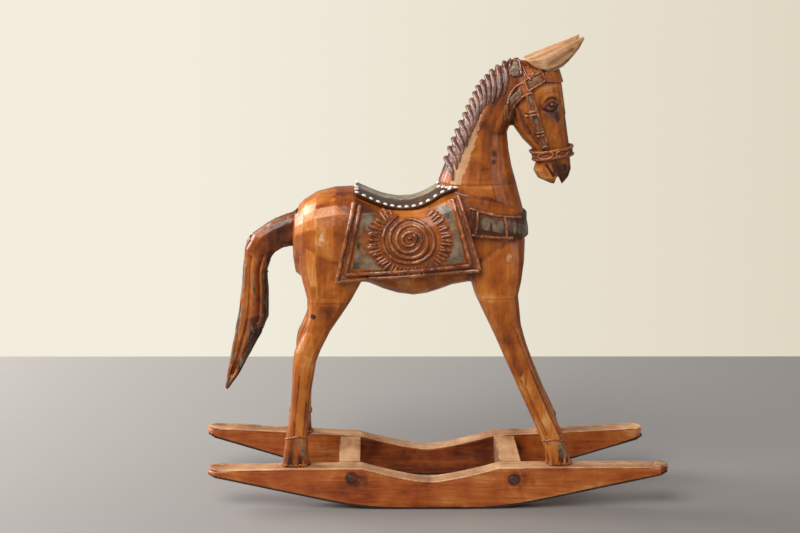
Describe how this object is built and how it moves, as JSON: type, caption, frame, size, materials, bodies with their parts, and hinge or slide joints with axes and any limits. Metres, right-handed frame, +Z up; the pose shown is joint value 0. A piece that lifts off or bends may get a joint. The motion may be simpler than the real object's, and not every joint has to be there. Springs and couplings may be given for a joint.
{
  "type": "rocking horse",
  "caption": "Hand-carved wooden rocking horse on two curved rockers with crossbars, with a dished saddle, relief-patterned flaps, breast strap, rope mane and bridle.",
  "frame": {"origin": "on the resting surface, midway between the two rockers and between their outermost tips", "axes": "+X the way the horse faces, +Y its left side, +Z up"},
  "size_m": [0.311, 0.0794, 0.3099],
  "materials": {
    "rocker_wood": "lacquered wood, long grain, worn edges",
    "pale_wood": "sanded pale wood with a thin stain",
    "runner_rubber": "thin dark strip",
    "peg_wood": "dark end grain of a dowel",
    "carved_wood": "hand-carved, stained orange-brown, satin lacquer",
    "ear_wood": "hand-carved, pale stain, satin lacquer",
    "eye_paint": "carved and stained dark brown",
    "iron": "dark iron",
    "seat_paint": "dark olive-brown paint over wood, satin",
    "dot_paint": "raised white paint",
    "flap_wood": "orange-brown stain with worn dark olive fields, satin",
    "bridle_paint": "tan and olive paint in panels, satin",
    "relief_putty": "glossy red-brown modelling paste"
  },
  "bodies": {
    "root": {"rocker_right": "rocker_wood", "rocker_left": "rocker_wood", "runner_strip_right": "runner_rubber", "runner_strip_left": "runner_rubber", "crossbar_rear": "pale_wood", "crossbar_front": "pale_wood", "crossbar_dowels": "peg_wood", "hoof_dowels": "peg_wood", "front_leg_right": "carved_wood", "front_leg_left": "carved_wood", "hind_leg_right": "carved_wood", "hind_leg_left": "carved_wood", "leg_dowels": "peg_wood", "hoof_band_front_right": "relief_putty", "hoof_band_front_left": "relief_putty", "hoof_band_hind_right": "relief_putty", "hoof_band_hind_left": "relief_putty", "leg_nails": "iron", "body": "carved_wood", "neck_and_head": "carved_wood", "neck_dowels": "peg_wood", "ear_right": "ear_wood", "ear_left": "ear_wood", "eyes": "eye_paint", "tail": "carved_wood", "tail_dowel": "peg_wood", "saddle_seat": "seat_paint", "seat_beads_right": "dot_paint", "seat_beads_left": "dot_paint", "saddle_flap_right": "flap_wood", "saddle_flap_left": "flap_wood", "flap_border_right": "relief_putty", "flap_border_left": "relief_putty", "spiral_right": "relief_putty", "spiral_left": "relief_putty", "sun_rays_right": "relief_putty", "sun_rays_left": "relief_putty", "breast_strap": "flap_wood", "strap_trim": "relief_putty", "mane_right": "relief_putty", "mane_left": "relief_putty", "crownpiece": "bridle_paint", "browband_right": "bridle_paint", "browband_left": "bridle_paint", "forelock": "bridle_paint", "throat_latch_right": "bridle_paint", "throat_latch_left": "bridle_paint", "cheek_strap_right": "bridle_paint", "cheek_strap_left": "bridle_paint", "noseband": "bridle_paint", "bridle_buckles": "relief_putty"}
  },
  "joints": []
}
